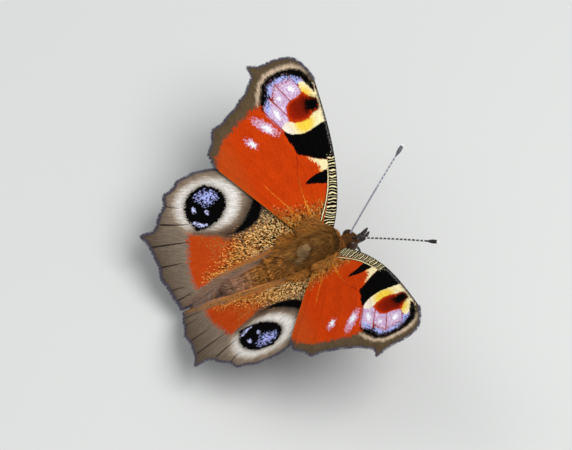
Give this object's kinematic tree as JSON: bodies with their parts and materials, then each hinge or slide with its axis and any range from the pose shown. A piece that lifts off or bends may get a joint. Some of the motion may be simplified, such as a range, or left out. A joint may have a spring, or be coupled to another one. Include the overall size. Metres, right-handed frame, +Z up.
{
  "type": "peacock butterfly model",
  "caption": "Life-size peacock butterfly standing on its walking legs, wings spread to show the eyespots, feelers forward and tongue curled down.",
  "frame": {"origin": "on the floor, below the middle of the whole outline", "axes": "-Y towards the head, +X to the animal's left, +Z up"},
  "size_m": [0.0654, 0.048, 0.0241],
  "materials": {
    "wing_upper": "satin scales, red-orange with grey-brown borders, cream, black and blue eyespots",
    "body_hair": "long golden-brown hair",
    "head_hair": "short dark brown hair",
    "eye": "glossy, finely faceted",
    "feeler": "matt, ringed dark and pale",
    "tongue": "dark, ringed, slightly glossy",
    "leg": "matt, finely haired"
  },
  "bodies": {
    "root": {"thorax": "body_hair", "abdomen": "body_hair", "head": "head_hair", "palp_left": "head_hair", "palp_right": "head_hair", "eye_left": "eye", "eye_right": "eye", "antenna_left": "feeler", "antenna_right": "feeler", "proboscis": "tongue", "forewing_left": "wing_upper", "forewing_right": "wing_upper", "hindwing_left": "wing_upper", "hindwing_right": "wing_upper", "foreleg_left": "leg", "foreleg_right": "leg", "midleg_left": "leg", "midleg_right": "leg", "hindleg_left": "leg", "hindleg_right": "leg"}
  },
  "joints": []
}
